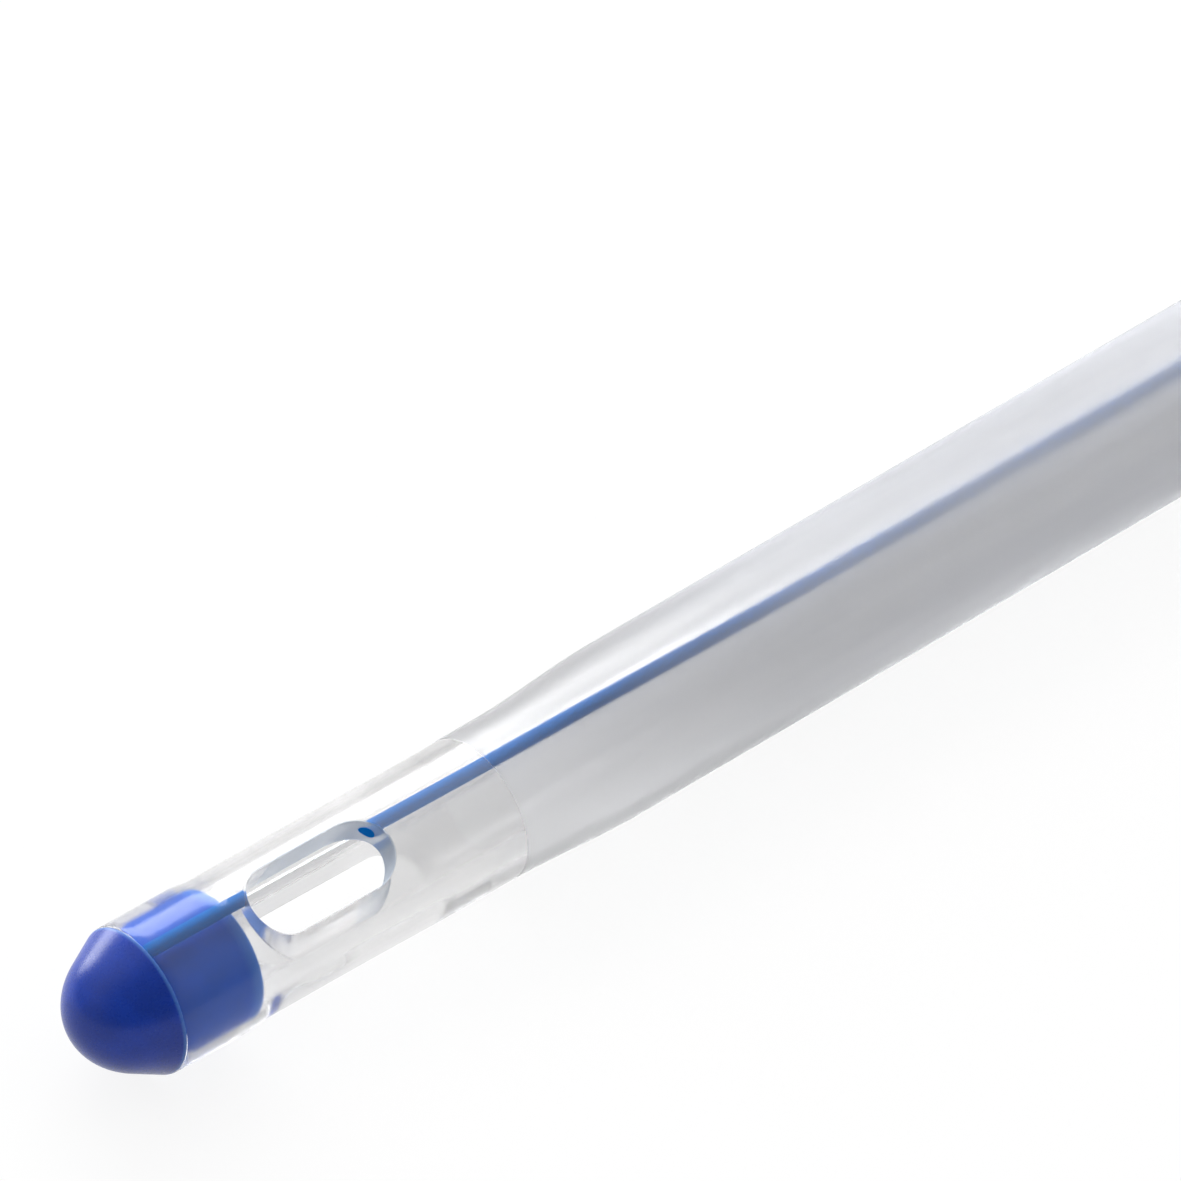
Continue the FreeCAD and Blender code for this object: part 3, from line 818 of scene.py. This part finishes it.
class CATHETER_OT_lumen_seal(bpy.types.Operator):
    """The drop of silicone that closes the inflation lumen in front"""
    bl_idname = "catheter.lumen_seal"
    bl_label = "Inflation lumen seal"

    def execute(self, context):
        shell = Shell()
        shell.grid(*inflation_rod(stations_between(0.05, LUMEN_FRONT - SEAL_PLAY, 0.5)))
        item = shell.piece("lumen_seal")
        dress(item, bonded_silicone(), replaces=["inflation_lumen_seal"])
        return {"FINISHED"}


def strand_turn(station):
    """The strand's turn behind the rim: it creeps round from the front value to the rear one."""
    sizes = strand_sizes()
    share = smooth((station - 10.0) / 20.0)
    return np.radians(sizes.turn_front + (sizes.turn_rear - sizes.turn_front) * share)


def strand_points(station, angle, scale):
    """Points of the strand: its own circle round a line beside the axis.

    The circle's centre is at the strand's offset and turn. Angle goes round the strand and
    scale is a share of its radius.
    """
    sizes = strand_sizes()
    turn = strand_turn(station)
    radial = sizes.offset + sizes.radius * scale * np.cos(angle)
    across = sizes.radius * scale * np.sin(angle)
    return on_tube(station, np.hypot(radial, across), turn + np.arctan2(across, radial))


# How far the strand's cut ends stand out of the eye's wall
STRAND_PROUD = 0.012


def eye_cut(angle, scale, end):
    """The station where the eye's wall cuts a line of the strand; end is -1 in front, 1 behind."""
    sizes = strand_sizes()
    shaft = shaft_sizes()
    turn = math.radians(sizes.turn_front - shaft.eye_turn)
    radial = sizes.offset + sizes.radius * scale * np.cos(angle)
    across = sizes.radius * scale * np.sin(angle)
    lateral = radial * math.sin(turn) + across * math.cos(turn)
    half = (shaft.eye_length - shaft.eye_width) / 2
    radius = shaft.eye_width / 2 - STRAND_PROUD
    return shaft.eye_middle + end * (half + np.sqrt(np.maximum(radius ** 2 - lateral ** 2, 0)))


class CATHETER_OT_strand(bpy.types.Operator):
    """The blue marker strand in the wall: a short front piece and the long one, cut by the eye"""
    bl_idname = "catheter.strand"
    bl_label = "Marker strand"

    def execute(self, context):
        ring = around(28)
        material = marker_silicone()
        front_cut, rear_cut = (eye_cut(ring, 1.0, end) for end in (-1, 1))
        front = np.linspace(0.06, front_cut.min() - 0.05, 12)[::-1]
        rear = long_stations(rear_cut.max() + 0.05, 0.8, TUBE_END - 0.06)
        spans = [("marker_strand_piece_front", -1, front, "marker_strand_front"),
                 ("marker_strand_piece", 1, rear, "marker_strand")]
        for name, end, stations, node in spans:
            scales = np.array([0.0, 0.5, 1.0] + [1.0] * len(stations) + [0.6, 0.0])
            rows = [eye_cut(ring, scale, end) for scale in scales[:3]]
            rows += [np.full(len(ring), s) for s in (*stations, stations[-1], stations[-1])]
            order = slice(None, None, end)
            station = np.array(rows)[order]
            scale = np.repeat(scales[order, None], len(ring), axis=1)
            shell = Shell()
            shell.grid(strand_points(station, np.repeat(ring[None], len(rows), axis=0), scale), station)
            dress(shell.piece(name, sharp=50.0), material, replaces=[node])
        return {"FINISHED"}


# The turn at which the sleeve's front ramp starts furthest back
SLANT_TURN = -48.2


class CATHETER_OT_sleeve(bpy.types.Operator):
    """The balloon sleeve: a thin skin whose front rises on a slant, bonded at both ends"""
    bl_idname = "catheter.sleeve"
    bl_label = "Balloon sleeve"

    def execute(self, context):
        sizes = sleeve_sizes()
        start = sizes.start
        end = start + sizes.length
        share = np.linspace(0, 1, 25)
        rise = sizes.edge + (sizes.wall - sizes.edge) * smooth(share)
        outside = np.vstack([
            [[start, sizes.gap], [start + 0.05, sizes.edge * 0.7], [start + 0.15, sizes.edge]],
            np.column_stack([start + 0.9 + share * 5.3, rise]),
            straight(stations_between(start + 6.8, end - 5.0, 0.6), sizes.wall),
            np.column_stack([end - 4.0 * share, rise])[::-1],
            [[end, sizes.edge * 0.5], [end, sizes.gap]]])
        behind = outside[:, 0] - start
        weight = smooth(behind / 1.2) * (1 - smooth((behind - 6.0) / 8.0))
        inside = straight(stations_between(end - 0.1, start + 0.02, 1.0), sizes.gap)
        profile = np.column_stack([np.vstack([outside, inside]), np.append(weight, np.zeros(len(inside)))])
        profile[:, 1] += shaft_sizes().radius
        marks = np.repeat([0.0, 1.0], [len(outside) - 1, len(inside) + 1])[:, None]

        def shift(turns):
            return sizes.slant * np.cos(turns - math.radians(SLANT_TURN))

        shell = Shell()
        shell.grid(*carried(profile, shaft_sizes().columns, turn_shift=shift), marks, loop=True)
        dress(shell.piece("balloon_skin"), sleeve_silicone(), replaces=["balloon_sleeve"])
        return {"FINISHED"}


def moulded_copy(node, edge, width):
    """A merged copy of a CAD node whose edges are rounded by a bevel."""
    item = finished(node + "_moulded", frame["nodes"][node].data.copy(), sharp=edge, merge=1e-6)
    shape = bmesh.new()
    shape.from_mesh(item.data)
    bmesh.ops.dissolve_limit(shape, angle_limit=math.radians(0.5), verts=shape.verts, edges=shape.edges)
    shape.to_mesh(item.data)
    shape.free()
    item.data.shade_smooth()
    bevel = item.modifiers.new("rounded edges", "BEVEL")
    bevel.width = width * MM
    bevel.segments = 3
    bevel.limit_method = "ANGLE"
    bevel.angle_limit = math.radians(edge)
    bevel.harden_normals = True
    return item


class CATHETER_OT_funnel(bpy.types.Operator):
    """The funnel's moulding and the valve's pieces, with rounded edges"""
    bl_idname = "catheter.funnel"
    bl_label = "Funnel and valve"

    def execute(self, context):
        plastic = moulded_plastic("valve_plastic", (0.7, 0.13, 0.015), 0.3)
        stem = moulded_plastic("stem_plastic", (0.82, 0.82, 0.8), 0.35)
        rubber = moulded_plastic("seal_rubber", (0.05, 0.05, 0.055), 0.55)
        pieces = [
            ("y_funnel", 35.0, 0.2, milky_silicone(), "funnel_silicone", "catheter"),
            ("valve_body", 35.0, 0.12, plastic, "valve_plastic", "catheter"),
            ("luer_body", 35.0, 0.12, plastic, "valve_plastic", "catheter"),
            ("valve_stem", 35.0, 0.06, stem, "stem_plastic", "valve_stem"),
            ("valve_seal", 35.0, 0.08, rubber, "seal_rubber", "valve_stem"),
        ]
        for node, edge, width, material, slot, body in pieces:
            dress(moulded_copy(node, edge, width), material, body, [node])
        return {"FINISHED"}


class CATHETER_OT_spring(bpy.types.Operator):
    """The valve's coiled spring, at its length at rest"""
    bl_idname = "catheter.spring"
    bl_label = "Valve spring"

    def execute(self, context):
        sizes = plain(context.scene.catheter_spring)
        axis = -np.array(frame["joints"][0]["axis"], float)
        axis /= np.linalg.norm(axis)
        low, high = (np.array(corner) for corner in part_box("valve_spring"))
        middle = (low + high) / 2 / MM
        floor = middle - axis * sizes.length / 2
        helix, side = coil(sizes, axis)
        ring = around(12)
        tangent = np.gradient(helix, axis=0)
        tangent /= np.linalg.norm(tangent, axis=1)[:, None]
        second = np.cross(tangent, side)
        wire = sizes.wire_radius
        scale = np.concatenate([[0.0], np.full(len(helix) - 2, wire), [0.0]])[:, None, None]
        helix[0] = helix[1]
        helix[-1] = helix[-2]
        points = helix[:, None] + scale * (np.cos(ring)[None, :, None] * side[:, None]
                                           + np.sin(ring)[None, :, None] * second[:, None])
        shell = Shell()
        shell.grid((points + floor) * MM, np.zeros(points.shape[:2]), flip=True)
        item = dress(shell.piece("coiled_spring"), spring_steel(), replaces=["valve_spring"])
        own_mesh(item)
        return {"FINISHED"}


def coil(sizes, axis):
    """A helix along an axis whose end turns lie flat, and its outward directions.

    With a share from 0 to 1 along the wire, the angle is turns times share and the height
    rises as a straight line between flat ends.
    """
    share = np.linspace(0, 1, 260)
    angle = share * sizes.turns * 2 * math.pi
    rise = np.clip((share - 0.1) / 0.8, 0, 1)
    height = sizes.wire_radius * (1 + 1.5 * share) + rise * (sizes.length - 4.5 * sizes.wire_radius)
    first = np.cross(axis, (0.0, 0.0, 1.0))
    first /= np.linalg.norm(first)
    second = np.cross(axis, first)
    side = np.cos(angle)[:, None] * first + np.sin(angle)[:, None] * second
    return side * sizes.radius + height[:, None] * axis, side


# The photograph's side and the place of the rim's middle in it, in pixels
PICTURE = 1181
RIM_PIXEL = (135.7, 997.5)
# How far the camera and the lamps are from the tip, in metres
CAMERA_DISTANCE = 1.0
LAMP_DISTANCE = 0.5


class CATHETER_OT_stage(bpy.types.Operator):
    """Floor, softbox, sky and the camera at the photograph's angle"""
    bl_idname = "catheter.stage"
    bl_label = "Stage"

    def execute(self, context):
        sizes = plain(context.scene.catheter_stage)
        places = route(np.array([0.0]))[0]
        rim = Vector(places[0] * MM) + Vector((0, 0, shaft_sizes().droop * MM))
        turn = math.radians(sizes.azimuth)
        height = math.radians(sizes.elevation)
        level = math.cos(height)
        back = Vector((math.sin(turn) * level, -math.cos(turn) * level, math.sin(height)))
        right = Vector((math.cos(turn), math.sin(turn), 0.0))
        above = back.cross(right)
        pixel = sizes.frame_width / PICTURE * MM
        target = rim + (right * (PICTURE / 2 - RIM_PIXEL[0]) + above * (RIM_PIXEL[1] - PICTURE / 2)) * pixel
        camera = bpy.data.cameras.new("camera")
        camera.sensor_width = 36.0
        camera.lens = camera.sensor_width * CAMERA_DISTANCE / (sizes.frame_width * MM)
        camera.clip_start = 0.05
        camera.clip_end = 50.0
        item = bpy.data.objects.new("camera", camera)
        item.location = target + back * CAMERA_DISTANCE
        item.rotation_mode = "QUATERNION"
        item.rotation_quaternion = (-back).to_track_quat("-Z", "Y")
        context.scene.collection.objects.link(item)
        context.scene.camera = item
        self.lamp(context, "softbox", rim, (0.47, 0.66, 0.58), size=(0.42, 0.22), power=sizes.softbox)
        self.lamp(context, "window", rim, (0.02, 0.975, 0.22), size=(0.22, 0.2), power=sizes.window)
        self.floor(context)
        self.sky(context, sizes.sky, back)
        context.scene.view_settings.view_transform = "Standard"
        return {"FINISHED"}

    def lamp(self, context, name, rim, direction, size, power):
        """A rectangular soft light that faces the tip from a direction."""
        direction = Vector(direction).normalized()
        lamp = bpy.data.lights.new(name, "AREA")
        lamp.shape = "RECTANGLE"
        lamp.size = size[0]
        lamp.size_y = size[1]
        lamp.energy = power
        item = bpy.data.objects.new(name, lamp)
        item.location = rim + direction * LAMP_DISTANCE
        item.rotation_mode = "QUATERNION"
        item.rotation_quaternion = (-direction).to_track_quat("-Z", "Y")
        context.scene.collection.objects.link(item)

    def floor(self, context):
        """A wide white floor that the camera sees as white, with the object's soft shadow kept."""
        half = 6.0
        corners = [(-half, -half, 0), (half, -half, 0), (half, half, 0), (-half, half, 0)]
        mesh = bpy.data.meshes.new("floor")
        mesh.from_pydata(corners, [], [(0, 1, 2, 3)])
        item = bpy.data.objects.new("floor", mesh)
        context.scene.collection.objects.link(item)
        paint = Paint("floor_white")
        camera, glossy, through = (paint.wire("LightPath", out=f"Is {ray} Ray")
                                   for ray in ("Camera", "Glossy", "Transmission"))
        seen = (camera + glossy + through).clip()
        grey = paint.node("BsdfDiffuse", values={"Color": (0.55, 0.55, 0.55, 1.0)})
        white = paint.node("Emission", values={"Color": (1.0, 1.0, 1.0, 1.0), "Strength": 1.08})
        shader = paint.node("MixShader", values={0: seen * 0.82, 1: grey, 2: white})
        mesh.materials.append(paint.surface(shader))

    def sky(self, context, strength, back):
        """Light that falls off below and towards the room behind the camera, and is white to the camera."""
        world = context.scene.world or bpy.data.worlds.new("sky")
        context.scene.world = world
        paint = Paint("sky", world)
        direction = paint.wire("TexCoord", out="Generated")
        up = paint.wire("SeparateXYZ", values={0: direction}, out="Z")
        turned = {0: direction, 1: tuple(back)}
        facing = paint.wire("VectorMath", {"operation": "DOT_PRODUCT"}, turned, out="Value")
        light = (0.35 + up.rise(-0.1, 0.9) * 0.65) * (1 - facing.rise(0.5, 0.97) * 0.75) * strength
        lit = paint.node("Background", values={"Color": (1.0, 1.0, 1.0, 1.0), "Strength": light})
        white = paint.node("Background", values={"Color": (1.0, 1.0, 1.0, 1.0), "Strength": 1.0})
        camera = paint.wire("LightPath", out="Is Camera Ray")
        paint.surface(paint.node("MixShader", values={0: camera, 1: lit, 2: white}))


class CATHETER_PT_panel(bpy.types.Panel):
    """Lists the catheter's pieces and its stage"""
    bl_idname = "CATHETER_PT_panel"
    bl_label = "Catheter"
    bl_space_type = "VIEW_3D"
    bl_region_type = "UI"
    bl_category = "Catheter"

    def draw(self, context):
        for piece in OPERATORS:
            self.layout.operator(piece.bl_idname)


OPERATORS = (CATHETER_OT_tip, CATHETER_OT_shaft, CATHETER_OT_lumen_seal, CATHETER_OT_strand,
             CATHETER_OT_sleeve, CATHETER_OT_funnel, CATHETER_OT_spring, CATHETER_OT_stage)
GROUPS = {"catheter_shaft": ShaftSizes, "catheter_strand": StrandSizes, "catheter_sleeve": SleeveSizes,
          "catheter_spring": SpringSizes, "catheter_stage": StageSizes}


def register():
    for group in GROUPS.values():
        bpy.utils.register_class(group)
    for name, group in GROUPS.items():
        setattr(bpy.types.Scene, name, bpy.props.PointerProperty(type=group))
    for item in (*OPERATORS, CATHETER_PT_panel):
        bpy.utils.register_class(item)


def unregister():
    for item in reversed((*OPERATORS, CATHETER_PT_panel)):
        bpy.utils.unregister_class(item)
    for name in GROUPS:
        delattr(bpy.types.Scene, name)
    for group in GROUPS.values():
        bpy.utils.unregister_class(group)


def main():
    register()
    bpy.ops.catheter.tip()
    bpy.ops.catheter.shaft()
    bpy.ops.catheter.lumen_seal()
    bpy.ops.catheter.strand()
    bpy.ops.catheter.sleeve()
    bpy.ops.catheter.funnel()
    bpy.ops.catheter.spring()
    bpy.ops.catheter.stage()


if __name__ == "__main__":
    main()
